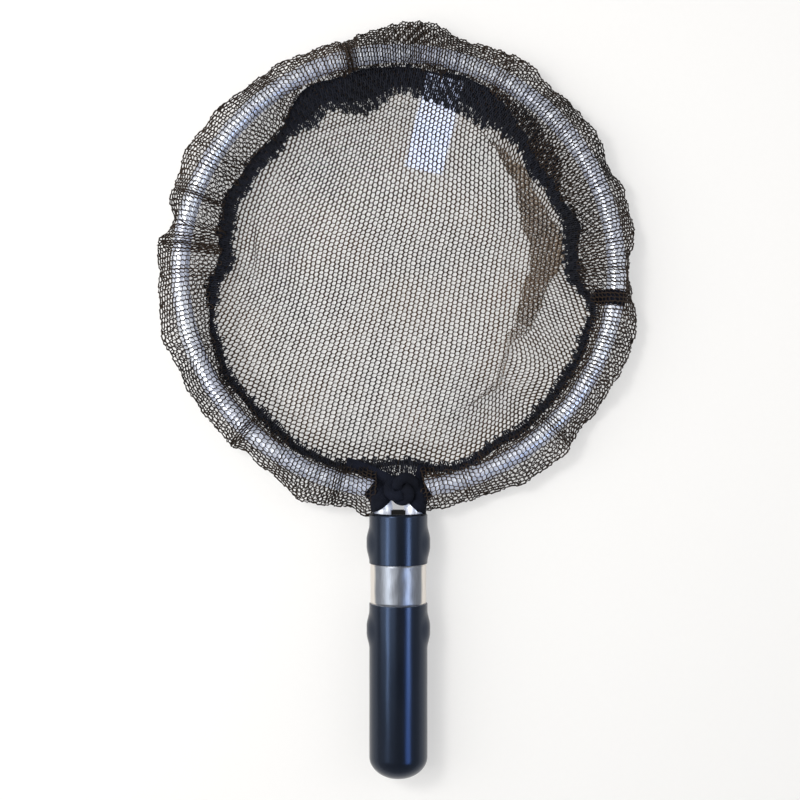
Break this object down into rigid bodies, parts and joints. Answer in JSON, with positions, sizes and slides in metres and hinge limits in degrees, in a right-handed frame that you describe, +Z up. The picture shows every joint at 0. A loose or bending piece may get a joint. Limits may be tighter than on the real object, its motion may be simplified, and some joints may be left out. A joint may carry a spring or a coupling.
{
  "type": "hand net",
  "caption": "Round hand net for small pond fish: bent tube hoop riveted into a short black tube grip, with a gathered net casing and a shallow net bag.",
  "frame": {"origin": "on the table plane under the centre of the hoop, at the underside of the bag's floor", "axes": "+Z up from the table, +Y from the handle to the far side of the hoop, +X to the right as seen from above with the handle nearest"},
  "size_m": [0.2692, 0.4122, 0.032],
  "materials": {
    "bright_tube": "polished tube",
    "shrink_sleeve": "satin shrink sleeve",
    "plug": "moulded plug",
    "foil": "brushed foil",
    "net": "knitted net",
    "tape": "woven tape",
    "sewn_label": "white satin tape"
  },
  "bodies": {
    "root": {"hoop_tube": "bright_tube", "handle_tube": "bright_tube", "upper_cross_rivet": "bright_tube", "lower_cross_rivet": "bright_tube", "collar_sleeve": "shrink_sleeve", "grip_sleeve": "shrink_sleeve", "neck_plug": "plug", "butt_plug": "plug", "foil_label": "foil", "net_casing": "net", "bag_side": "net", "bag_floor": "net", "seam_tape": "tape", "retaining_loop": "tape", "neck_wrap_left": "tape", "neck_wrap_right": "tape", "neck_knot": "tape", "care_label": "sewn_label"}
  },
  "joints": []
}
